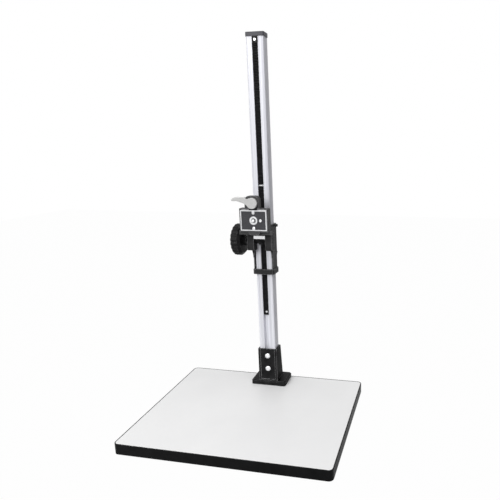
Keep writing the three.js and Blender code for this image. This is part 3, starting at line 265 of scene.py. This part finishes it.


# Finishes: one for each slot of the record, and two paler ones of the casting's paint.
# Colours are linear, scales are per metre and heights in metres.

# The edge colour and amount in a finish paint a lighter highlight along its outer edges.
finishSettings = {
    "white_laminate": {
        "colours": ((0.86, 0.86, 0.862), (0.835, 0.835, 0.838)), "patchScale": 7, "grainScale": 1400,
        "grainHeight": 0.000012, "rough": (0.33, 0.46), "shader": {"IOR": 1.45},
    },
    "black_band": {
        "colours": ((0.004, 0.004, 0.0042), (0.0075, 0.0075, 0.008)), "patchScale": 60,
        "grainScale": 1800, "grainHeight": 0.00002, "rough": (0.36, 0.5),
        "shader": {"Specular IOR Level": 0.05},
        "edgeHighlight": {"colour": (0.05, 0.05, 0.05), "amount": 0.4},
    },
    "wood_core": {
        "colours": ((0.43, 0.27, 0.12), (0.28, 0.16, 0.07)), "patchScale": 300, "grainScale": 700,
        "grainHeight": 0.0003, "rough": (0.7, 0.9),
    },
    "black_backing": {
        "colours": ((0.023, 0.023, 0.023), (0.03, 0.03, 0.03)), "patchScale": 20, "grainScale": 900,
        "grainHeight": 0.00005, "rough": (0.6, 0.75),
    },
    "rubber": {
        "colours": ((0.029, 0.029, 0.034), (0.042, 0.042, 0.048)), "patchScale": 120,
        "grainScale": 2200, "grainHeight": 0.00008, "rough": (0.62, 0.82),
        "shader": {"Sheen Weight": 0.15, "Sheen Roughness": 0.5},
    },
    "anodised_aluminium": {
        # patches stretched upright: streaks that are partly drawn lines and partly painted sheen
        "colours": ((0.86, 0.865, 0.915), (0.6, 0.605, 0.655)), "stretch": (1, 1, 0.004),
        "patchScale": 420, "grainScale": 2600, "grainHeight": 0.000016, "rough": (0.3, 0.46),
        "shader": {"Metallic": 0.05, "Specular IOR Level": 0.1},
    },
    "black_casting": {
        "colours": ((0.01, 0.01, 0.0104), (0.02, 0.02, 0.0205)), "patchScale": 70, "grainScale": 1300,
        "grainHeight": 0.00018, "rough": (0.3, 0.46), "shader": {"IOR": 1.3, "Specular IOR Level": 0.07},
        "edgeHighlight": {"colour": (0.32, 0.32, 0.325), "amount": 0.9},
    },
    "carriage_casting": {
        "colours": ((0.034, 0.034, 0.0345), (0.047, 0.047, 0.048)), "patchScale": 70, "grainScale": 1300,
        "grainHeight": 0.00018, "rough": (0.3, 0.46), "shader": {"IOR": 1.3, "Specular IOR Level": 0.07},
        "edgeHighlight": {"colour": (0.32, 0.32, 0.325), "amount": 0.9},
    },
    "clamp_casting": {
        "colours": ((0.066, 0.066, 0.067), (0.086, 0.086, 0.088)), "patchScale": 70, "grainScale": 1500,
        "grainHeight": 0.0001, "rough": (0.3, 0.46), "shader": {"IOR": 1.3, "Specular IOR Level": 0.07},
        "edgeHighlight": {"colour": (0.36, 0.36, 0.365), "amount": 0.9},
    },
    "grey_plastic": {
        "colours": ((0.036, 0.036, 0.045), (0.047, 0.047, 0.057)), "patchScale": 60, "grainScale": 1500,
        "grainHeight": 0.00009, "rough": (0.42, 0.58), "shader": {"Specular IOR Level": 0.4},
    },
    "black_plastic": {
        "colours": ((0.012, 0.012, 0.0124), (0.022, 0.022, 0.0226)), "patchScale": 80,
        "grainScale": 1700, "grainHeight": 0.00006, "rough": (0.3, 0.42),
        "shader": {"IOR": 1.35, "Specular IOR Level": 0.08},
        "edgeHighlight": {"colour": (0.3, 0.3, 0.3), "amount": 0.9},
    },
    "black_steel": {
        "colours": ((0.008, 0.008, 0.0085), (0.015, 0.015, 0.016)), "patchScale": 150,
        "grainScale": 1600, "grainHeight": 0.00003, "rough": (0.33, 0.48),
        "shader": {"Specular IOR Level": 0.05},
        "edgeHighlight": {"colour": (0.2, 0.2, 0.21), "amount": 0.15},
    },
    "bright_steel": {
        "colours": ((0.93, 0.935, 0.945), (0.82, 0.825, 0.84)), "patchScale": 160, "grainScale": 2200,
        "grainHeight": 0.00001, "rough": (0.18, 0.32), "shader": {"Metallic": 0.7},
    },
    "plate_metal": {
        "colours": ((0.82, 0.825, 0.84), (0.7, 0.705, 0.72)), "patchScale": 200, "grainScale": 2400,
        "grainHeight": 0.00002, "rough": (0.26, 0.4), "shader": {"Metallic": 0.5},
    },
    "liner_plastic": {
        "colours": ((0.016, 0.016, 0.017), (0.022, 0.022, 0.023)), "patchScale": 90, "grainScale": 1500,
        "grainHeight": 0.00004, "rough": (0.4, 0.5), "shader": {"Specular IOR Level": 0.25},
    },
    "lever_grey": {
        "colours": ((0.59, 0.59, 0.585), (0.54, 0.54, 0.535)), "patchScale": 60, "grainScale": 1500,
        "grainHeight": 0.00006, "rough": (0.4, 0.52),
        "edgeHighlight": {"colour": (0.75, 0.75, 0.75), "amount": 0.4},
    },
}
finishes = {name: makeFinish(name, values) for name, values in finishSettings.items()}
print("finishes made:", len(finishes))

slotOfNode = {entry["node"]: entry["material_slot"] for entry in frame["record"]["subparts"]}
paintOfNode = {  # paler than the socket
    "carriage_frame": "carriage_casting", "clamp_body": "clamp_casting",
}


# Pieces from the CAD nodes: a merged copy with rounded edges, or the node itself where it is hidden

meshSettings = {
    "mergeDistance": 0.000002, "flatAngle": 1,  # faces within this many degrees are joined
    "smoothAngle": 35, "bevelAngle": 35, "bevelSteps": 2,
}


def mergedMesh(nodeName, joinFlats):
    mesh = frame["nodes"][nodeName].data.copy()
    shell = bmesh.new()
    shell.from_mesh(mesh)
    bmesh.ops.remove_doubles(shell, verts=shell.verts, dist=meshSettings["mergeDistance"])
    if joinFlats:
        bmesh.ops.dissolve_limit(
            shell, angle_limit=math.radians(meshSettings["flatAngle"]), verts=shell.verts,
            edges=shell.edges, use_dissolve_boundaries=False,
        )
    shell.to_mesh(mesh)
    shell.free()
    return mesh


def finishPiece(piece, nodeName):
    slotName = slotOfNode[nodeName]
    piece.data.materials.clear()
    piece.data.materials.append(finishes[paintOfNode.get(nodeName, slotName)])
    for face in piece.data.polygons:
        face.use_smooth = True
        face.material_index = 0
    piece.data.set_sharp_from_angle(angle=math.radians(meshSettings["smoothAngle"]))
    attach(piece, frame["nodes"][nodeName]["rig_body"])


def roundedPiece(nodeName, settings):
    mesh = mergedMesh(nodeName, settings.get("joinFlats", True))
    piece = bpy.data.objects.new(settings["name"], mesh)
    mesh.name = settings["name"]
    scene.collection.objects.link(piece)
    bevel = piece.modifiers.new("edges", "BEVEL")
    bevel.width = settings["edge"]
    bevel.segments = settings.get("steps", meshSettings["bevelSteps"])
    bevel.limit_method = "ANGLE"
    bevel.angle_limit = math.radians(meshSettings["bevelAngle"])
    bevel.harden_normals = True
    bevel.use_clamp_overlap = True
    finishPiece(piece, nodeName)
    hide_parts(nodeName)


# how far each edge is rounded, in metres, and in how many steps
edgeSettings = {
    "baseboard_top_sheet": {"name": "boardTopSheet", "edge": 0.00015, "steps": 1},
    "baseboard_edge_band": {"name": "boardEdgeBand", "edge": 0.0007, "steps": 3},
    "column_socket": {"name": "columnSocket", "edge": 0.0008, "steps": 3, "joinFlats": False},
    "socket_screw_lower": {"name": "socketScrewLower", "edge": 0.00035},
    "socket_screw_upper": {"name": "socketScrewUpper", "edge": 0.00035},
    "column": {"name": "columnTube", "edge": 0.0003},
    "rack_lower": {"name": "rackLower", "edge": 0.00012, "steps": 1},
    "rack_joint": {"name": "rackJoint", "edge": 0.00012, "steps": 1},
    "rack_upper": {"name": "rackUpper", "edge": 0.00012, "steps": 1},
    "rack_end_stop": {"name": "rackEndStop", "edge": 0.0003},
    "rack_screw": {"name": "rackScrew", "edge": 0.0002},
    "rack_stop_screw": {"name": "rackStopScrew", "edge": 0.0002},
    "column_cap": {"name": "columnCap", "edge": 0.0008, "steps": 3},
    "carriage_frame": {"name": "carriageFrame", "edge": 0.0008, "steps": 3},
    "rear_plate": {"name": "rearPlate", "edge": 0.0004},
    "friction_screw": {"name": "frictionScrew", "edge": 0.0002},
    "shaft_bush_left": {"name": "shaftBushLeft", "edge": 0.0003},
    "shaft_bush_right": {"name": "shaftBushRight", "edge": 0.0003},
    "bush_set_screw_upper": {"name": "bushSetScrewUpper", "edge": 0.0002},
    "bush_set_screw_lower": {"name": "bushSetScrewLower", "edge": 0.0002},
    "pinion_guard": {"name": "pinionGuard", "edge": 0.00025},
    "pinion_shaft": {"name": "pinionShaft", "edge": 0.0004},
    "drive_pinion": {"name": "drivePinion", "edge": 0.0002, "steps": 1},
    "drive_knob": {"name": "driveKnob", "edge": 0.0006},
    "knob_cover": {"name": "knobCover", "edge": 0.0005},
    "clamp_body": {"name": "clampBody", "edge": 0.0007, "steps": 3},
    "release_plate": {"name": "releasePlate", "edge": 0.0004},
    "plate_pad": {"name": "platePad", "edge": 0.0002},
    "screw_washer": {"name": "screwWasher", "edge": 0.0003},
    "alignment_pin": {"name": "alignmentPin", "edge": 0.0007, "steps": 3},
    "lock_lever": {"name": "lockLever", "edge": 0.0009, "steps": 3},
    "lever_cam": {"name": "leverCam", "edge": 0.0003},
    "lever_spring_cap": {"name": "leverSpringCap", "edge": 0.0003},
    "moving_jaw": {"name": "movingJaw", "edge": 0.0003},
    "clamp_bolt_1": {"name": "clampBoltLower", "edge": 0.0003},
    "clamp_bolt_2": {"name": "clampBoltUpper", "edge": 0.0003},
}
for number in range(1, 5):
    edgeSettings[f"rear_plate_screw_{number}"] = {"name": f"rearPlateScrew{number}", "edge": 0.0002}
    edgeSettings[f"socket_bolt_{number}"] = {"name": f"socketBolt{number}", "edge": 0.0003}
for side in ("left", "right"):
    for end in ("front", "back"):
        edgeSettings[f"foot_{end}_{side}"] = {
            "name": f"foot{end.title()}{side.title()}", "edge": 0.0005,
        }

for nodeName, settings in edgeSettings.items():
    roundedPiece(nodeName, settings)
for nodeName, node in frame["nodes"].items():
    if nodeName not in edgeSettings:
        for slotEntry in node.material_slots:
            slotEntry.material = finishes[slotOfNode[nodeName]]
print("rounded pieces:", len(edgeSettings))


# Geometry Nodes pieces

def applyTree(tree, name, values):
    # run a tree on an empty mesh and keep the result as a plain mesh
    carrier = bpy.data.objects.new(name, bpy.data.meshes.new(name))
    scene.collection.objects.link(carrier)
    modifier = carrier.modifiers.new("shape", "NODES")
    modifier.node_group = tree
    for item in tree.interface.items_tree:
        if item.item_type == "SOCKET" and item.in_out == "INPUT" and item.name in values:
            modifier[item.identifier] = values[item.name]
    bpy.context.view_layer.update()
    evaluated = carrier.evaluated_get(bpy.context.evaluated_depsgraph_get())
    mesh = bpy.data.meshes.new_from_object(evaluated)
    mesh.name = name
    bpy.data.objects.remove(carrier)
    piece = bpy.data.objects.new(name, mesh)
    scene.collection.objects.link(piece)
    return piece


threadSettings = {  # in metres
    "shankRadius": 0.00285, "shankEdge": 0.0003, "pitch": 0.00127, "crest": 0.00036,
    "bare": 0.0006,  # left without thread at each end
    "pointsPerTurn": 24, "crestSides": 6,
}


def makeThreadTree(settings):
    # a round wire wound along -Y, for a screw's thread
    tree, first, last = startGroup("screwThread", "GeometryNodeTree", [
        ("Place", "NodeSocketVector", (0, 0, 0)), ("Radius", "NodeSocketFloat", 0.003),
        ("Length", "NodeSocketFloat", 0.004), ("Turns", "NodeSocketFloat", 4.0),
        ("Crest", "NodeSocketFloat", 0.0004), ("Material", "NodeSocketMaterial", None),
    ], [("Geometry", "NodeSocketGeometry")])
    spiral = addNode(tree, "GeometryNodeCurveSpiral", (-600, 200))
    setInputs(spiral, {"Resolution": settings["pointsPerTurn"]})
    profile = addNode(tree, "GeometryNodeCurvePrimitiveCircle", (-600, -120))
    setInputs(profile, {"Resolution": settings["crestSides"]})
    sweep = addNode(tree, "GeometryNodeCurveToMesh", (-300, 100))
    setInputs(sweep, {"Fill Caps": True})
    place = addNode(tree, "GeometryNodeTransform", (-60, 100))
    setInputs(place, {"Rotation": (math.pi / 2, 0, 0)})
    real = addNode(tree, "GeometryNodeRealizeInstances", (180, 100))
    paint = addNode(tree, "GeometryNodeSetMaterial", (420, 100))
    link = tree.links.new
    for socketName in ("Start Radius", "End Radius"):
        link(first.outputs["Radius"], spiral.inputs[socketName])
    link(first.outputs["Length"], spiral.inputs["Height"])
    link(first.outputs["Turns"], spiral.inputs["Rotations"])
    link(first.outputs["Crest"], profile.inputs["Radius"])
    link(spiral.outputs["Curve"], sweep.inputs["Curve"])
    link(profile.outputs["Curve"], sweep.inputs["Profile Curve"])
    link(sweep.outputs["Mesh"], place.inputs["Geometry"])
    link(first.outputs["Place"], place.inputs["Translation"])
    link(place.outputs["Geometry"], real.inputs["Geometry"])
    link(real.outputs["Geometry"], paint.inputs["Geometry"])
    link(first.outputs["Material"], paint.inputs["Material"])
    link(paint.outputs["Geometry"], last.inputs["Geometry"])
    return tree


studSettings = {  # in metres
    "margin": 0.0016, "pitch": 0.00155, "height": 0.0003, "sunk": 0.00005,
    "radius": 0.00042, "topShare": 0.6, "sides": 8,  # the top's radius is a share of the foot's
    "ringClearance": 0.0097, "pinOffset": 0.0158, "pinClearance": 0.004,
    "markOffset": 0.0162, "markClearance": 0.0041,
}


def makeStudTree(settings):
    # low studs in a grid on the pad's face, kept clear of the ring, the pin and the two bare marks
    tree, first, last = startGroup("padStuds", "GeometryNodeTree", [
        ("Place", "NodeSocketVector", (0, 0, 0)), ("Width", "NodeSocketFloat", 0.05),
        ("Height", "NodeSocketFloat", 0.035),
        ("Columns", "NodeSocketInt", 30), ("Rows", "NodeSocketInt", 20),
        ("Stud Radius", "NodeSocketFloat", 0.0004), ("Stud Height", "NodeSocketFloat", 0.0003),
        ("Ring Clearance", "NodeSocketFloat", 0.0095), ("Pin Offset", "NodeSocketFloat", 0.015),
        ("Pin Clearance", "NodeSocketFloat", 0.0035), ("Mark Offset", "NodeSocketFloat", 0.0155),
        ("Mark Clearance", "NodeSocketFloat", 0.0042), ("Material", "NodeSocketMaterial", None),
    ], [("Geometry", "NodeSocketGeometry")])
    link = tree.links.new
    grid = addNode(tree, "GeometryNodeMeshGrid", (-700, 300))
    link(first.outputs["Width"], grid.inputs["Size X"])
    link(first.outputs["Height"], grid.inputs["Size Y"])
    link(first.outputs["Columns"], grid.inputs["Vertices X"])
    link(first.outputs["Rows"], grid.inputs["Vertices Y"])
    spot = addNode(tree, "GeometryNodeInputPosition", (-900, -300))
    near = None
    for clearance, offset, axis, sign in (
        ("Ring Clearance", None, None, 0), ("Pin Clearance", "Pin Offset", "X", 1),
        ("Mark Clearance", "Mark Offset", "Y", 1), ("Mark Clearance", "Mark Offset", "Y", -1),
    ):
        centre = addNode(tree, "ShaderNodeCombineXYZ", (-700, -300))
        if offset:
            shift = addNode(tree, "ShaderNodeMath", (-860, -500), operation="MULTIPLY")
            shift.inputs[1].default_value = sign
            link(first.outputs[offset], shift.inputs[0])
            link(shift.outputs["Value"], centre.inputs[axis])
        gap = addNode(tree, "ShaderNodeVectorMath", (-500, -300), operation="DISTANCE")
        link(spot.outputs["Position"], gap.inputs[0])
        link(centre.outputs["Vector"], gap.inputs[1])
        inside = addNode(
            tree, "FunctionNodeCompare", (-320, -300), data_type="FLOAT", operation="LESS_THAN",
        )
        link(gap.outputs["Value"], inside.inputs["A"])
        link(first.outputs[clearance], inside.inputs["B"])
        if near is None:
            near = inside.outputs["Result"]
        else:
            either = addNode(tree, "FunctionNodeBooleanMath", (-140, -300), operation="OR")
            link(near, either.inputs[0])
            link(inside.outputs["Result"], either.inputs[1])
            near = either.outputs["Boolean"]
    keep = addNode(tree, "GeometryNodeDeleteGeometry", (-300, 300), domain="POINT")
    link(grid.outputs["Mesh"], keep.inputs["Geometry"])
    link(near, keep.inputs["Selection"])
    stud = addNode(tree, "GeometryNodeMeshCone", (-300, 0), fill_type="NGON")
    setInputs(stud, {"Vertices": settings["sides"]})
    top = addNode(tree, "ShaderNodeMath", (-480, 60), operation="MULTIPLY")
    top.inputs[1].default_value = settings["topShare"]
    link(first.outputs["Stud Radius"], top.inputs[0])
    link(top.outputs["Value"], stud.inputs["Radius Top"])
    link(first.outputs["Stud Radius"], stud.inputs["Radius Bottom"])
    link(first.outputs["Stud Height"], stud.inputs["Depth"])
    spread = addNode(tree, "GeometryNodeInstanceOnPoints", (-60, 300))
    link(keep.outputs["Geometry"], spread.inputs["Points"])
    link(stud.outputs["Mesh"], spread.inputs["Instance"])
    place = addNode(tree, "GeometryNodeTransform", (180, 300))
    setInputs(place, {"Rotation": (math.pi / 2, 0, 0)})
    link(spread.outputs["Instances"], place.inputs["Geometry"])
    link(first.outputs["Place"], place.inputs["Translation"])
    real = addNode(tree, "GeometryNodeRealizeInstances", (400, 300))
    link(place.outputs["Geometry"], real.inputs["Geometry"])
    paint = addNode(tree, "GeometryNodeSetMaterial", (620, 300))
    link(real.outputs["Geometry"], paint.inputs["Geometry"])
    link(first.outputs["Material"], paint.inputs["Material"])
    link(paint.outputs["Geometry"], last.inputs["Geometry"])
    return tree


padLow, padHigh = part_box("plate_pad")
padCentre = (padLow + padHigh) / 2

# Pad: fine studs that keep the camera from turning
fieldWidth = padHigh.x - padLow.x - 2 * studSettings["margin"]
fieldHeight = padHigh.z - padLow.z - 2 * studSettings["margin"]
studs = applyTree(makeStudTree(studSettings), "padStuds", {
    "Place": (padCentre.x, padLow.y + studSettings["sunk"], padCentre.z),
    "Width": fieldWidth, "Height": fieldHeight,
    "Columns": int(fieldWidth / studSettings["pitch"]) + 1,
    "Rows": int(fieldHeight / studSettings["pitch"]) + 1,
    "Stud Radius": studSettings["radius"], "Stud Height": studSettings["height"],
    "Ring Clearance": studSettings["ringClearance"],
    "Pin Offset": studSettings["pinOffset"], "Pin Clearance": studSettings["pinClearance"],
    "Mark Offset": studSettings["markOffset"], "Mark Clearance": studSettings["markClearance"],
    "Material": finishes["rubber"],
})
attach(studs, "carriage")
print("pad studs:", len(studs.data.polygons), "faces")

# Camera screw: the solid's shank, with a thread wound round its free end
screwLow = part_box("camera_screw")[0]
threadLength = padLow.y - screwLow.y - 2 * threadSettings["bare"]
thread = applyTree(makeThreadTree(threadSettings), "cameraScrewThread", {
    "Place": (padCentre.x, padLow.y - threadSettings["bare"], padCentre.z),
    "Radius": threadSettings["shankRadius"], "Crest": threadSettings["crest"],
    "Length": threadLength, "Turns": threadLength / threadSettings["pitch"],
    "Material": finishes["bright_steel"],
})
for face in thread.data.polygons:
    face.use_smooth = True
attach(thread, "camera_screw")
roundedPiece("camera_screw", {"name": "cameraScrew", "edge": threadSettings["shankEdge"]})
print("camera screw threaded")


# Floor, light and camera

stageSettings = {
    "size": 6.0, "colour": (0.3, 0.3, 0.3),
    "glow": 0.985, "glowStrength": 1.0,  # the rest of what is seen is the lit floor, with the shadow
}


def makeStageFinish(settings):
    material = bpy.data.materials.new("paleFloor")
    material.use_nodes = True
    tree = material.node_tree
    tree.nodes.clear()
    output = addNode(tree, "ShaderNodeOutputMaterial", (600, 0))
    matt = addNode(tree, "ShaderNodeBsdfDiffuse", (0, 100))
    setInputs(matt, {"Color": (*settings["colour"], 1)})
    glow = addNode(tree, "ShaderNodeEmission", (0, -100))
    setInputs(glow, {"Color": (1, 1, 1, 1), "Strength": settings["glowStrength"]})
    seen = addNode(tree, "ShaderNodeMath", (0, 300), operation="MULTIPLY")
    seen.inputs[1].default_value = settings["glow"]
    mix = addNode(tree, "ShaderNodeMixShader", (300, 0))
    link = tree.links.new
    link(addShownRays(tree, (-600, 300)), seen.inputs[0])
    link(seen.outputs["Value"], mix.inputs["Fac"])
    link(matt.outputs["BSDF"], mix.inputs[1])
    link(glow.outputs["Emission"], mix.inputs[2])
    link(mix.outputs["Shader"], output.inputs["Surface"])
    return material


floorMesh = bpy.data.meshes.new("floor")
half = stageSettings["size"] / 2
floorCorners = [(-half, -half, 0), (half, -half, 0), (half, half, 0), (-half, half, 0)]
floorMesh.from_pydata(floorCorners, [], [(0, 1, 2, 3)])
floorMesh.materials.append(makeStageFinish(stageSettings))
floor = bpy.data.objects.new("floor", floorMesh)
scene.collection.objects.link(floor)

worldSettings = {  # soft light from each side, and how bright the world itself shows
    "leftLight": 0.8, "rightLight": 0.08, "shownLight": 1.0, "colour": (1, 1, 1),
}
world = bpy.data.worlds.new("studio")
scene.world = world
world.use_nodes = True
worldTree = world.node_tree
background = worldTree.nodes["Background"]
setInputs(background, {"Color": (*worldSettings["colour"], 1)})
way = addNode(worldTree, "ShaderNodeTexCoord", (-1000, -200))
split = addNode(worldTree, "ShaderNodeSeparateXYZ", (-800, -200))
side = addNode(worldTree, "ShaderNodeMapRange", (-620, -200))
setInputs(side, {
    "From Min": -1.0, "From Max": 1.0,
    "To Min": worldSettings["leftLight"], "To Max": worldSettings["rightLight"],
})
strength = addNode(worldTree, "ShaderNodeMix", (-200, 200), data_type="FLOAT")
setInputs(strength, {"B": worldSettings["shownLight"]})
for source, target in (
    (addShownRays(worldTree, (-1000, 200)), strength.inputs["Factor"]),
    (way.outputs["Object"], split.inputs["Vector"]), (split.outputs["X"], side.inputs["Value"]),
    (side.outputs["Result"], strength.inputs["A"]),
    (strength.outputs["Result"], background.inputs["Strength"]),
):
    worldTree.links.new(source, target)

lampSettings = {
    "keyLamp": {"place": (-1.0, -2.1, 1.5), "size": 1.2, "power": 36},
    "fillLamp": {"place": (1.6, -1.2, 1.0), "size": 1.4, "power": 0.8},
    "topLamp": {"place": (0.45, -0.6, 2.1), "size": 1.5, "power": 16.5},
}
lampAim = Vector((0, 0.05, 0.35))
for lampName, settings in lampSettings.items():
    lampData = bpy.data.lights.new(lampName, "AREA")
    lampData.energy = settings["power"]
    lampData.size = settings["size"]
    lamp = bpy.data.objects.new(lampName, lampData)
    lamp.location = settings["place"]
    lamp.rotation_euler = (lampAim - lamp.location).to_track_quat("-Z", "Y").to_euler()
    scene.collection.objects.link(lamp)

cameraSettings = {
    "place": (0.36538, -0.85584, 0.56542), "turn": 11.0936, "down": 12.341, "roll": -0.3707,
    "lens": 34.456, "sensor": 36, "shiftX": -0.18493, "clipStart": 0.01,
}
cameraData = bpy.data.cameras.new("camera")
cameraData.sensor_width = cameraSettings["sensor"]
cameraData.lens = cameraSettings["lens"]
cameraData.shift_x = cameraSettings["shiftX"]
cameraData.clip_start = cameraSettings["clipStart"]
camera = bpy.data.objects.new("camera", cameraData)
camera.matrix_world = (
    Matrix.Translation(cameraSettings["place"])
    @ Matrix.Rotation(math.radians(cameraSettings["turn"]), 4, "Z")
    @ Matrix.Rotation(math.radians(90 - cameraSettings["down"]), 4, "X")
    @ Matrix.Rotation(math.radians(cameraSettings["roll"]), 4, "Z")
)
scene.collection.objects.link(camera)
scene.camera = camera
print("floor, lamps and camera set")
